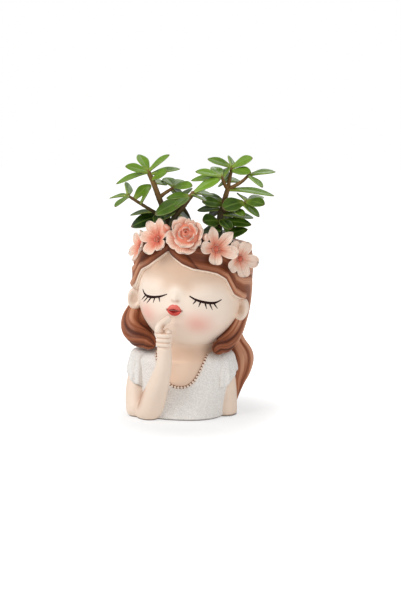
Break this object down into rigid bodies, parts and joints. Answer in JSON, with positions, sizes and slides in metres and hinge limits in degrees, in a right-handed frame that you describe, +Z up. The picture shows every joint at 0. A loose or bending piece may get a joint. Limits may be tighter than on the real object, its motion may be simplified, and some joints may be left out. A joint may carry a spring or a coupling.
{
  "type": "flower pot",
  "caption": "Bust-shaped plant pot of a girl with closed eyes; the open head inside a flower garland holds soil and a branching succulent, and the hollow base drains through a plug.",
  "frame": {"origin": "middle of the torso on the base, in the plane that the pot stands on", "axes": "+Z up, the face towards -Y, +X towards the viewer's right when the pot is seen from the front"},
  "size_m": [0.1326, 0.1042, 0.2152],
  "materials": {
    "skin": "satin",
    "dress": "matte",
    "beads": "matte",
    "hair": "satin",
    "petals": "matte",
    "rose": "matte",
    "plug": "matte",
    "soil": "matte",
    "plant": "satin"
  },
  "bodies": {
    "pot": {"bust_shell": "skin", "right_arm": "skin", "right_hand": "skin", "left_arm": "skin", "dress_shell": "dress", "neckline_beads": "beads", "hair_cap": "hair", "hair_lock_right": "hair", "hair_lock_left": "hair", "hair_tail": "hair", "crown_rose": "rose", "crown_bloom_left_inner": "petals", "crown_bloom_right_inner": "petals", "crown_bloom_left_outer": "petals", "crown_bloom_right_outer": "petals", "crown_bud_left": "rose", "crown_bud_right": "rose"},
    "plant": {"potting_soil": "soil", "jade_stem_front": "plant", "jade_stem_left": "plant", "jade_stem_back": "plant", "jade_stem_right": "plant"},
    "plug": {"drain_plug": "plug"}
  },
  "joints": [
    {"name": "plant_lift", "type": "slide", "parent": "pot", "child": "plant", "axis": [0.1045, 0, 0.9945], "range_m": [0, 0.08]},
    {"name": "plug_pull", "type": "slide", "parent": "pot", "child": "plug", "axis": [0, 0, -1], "range_m": [0, 0.02]}
  ]
}
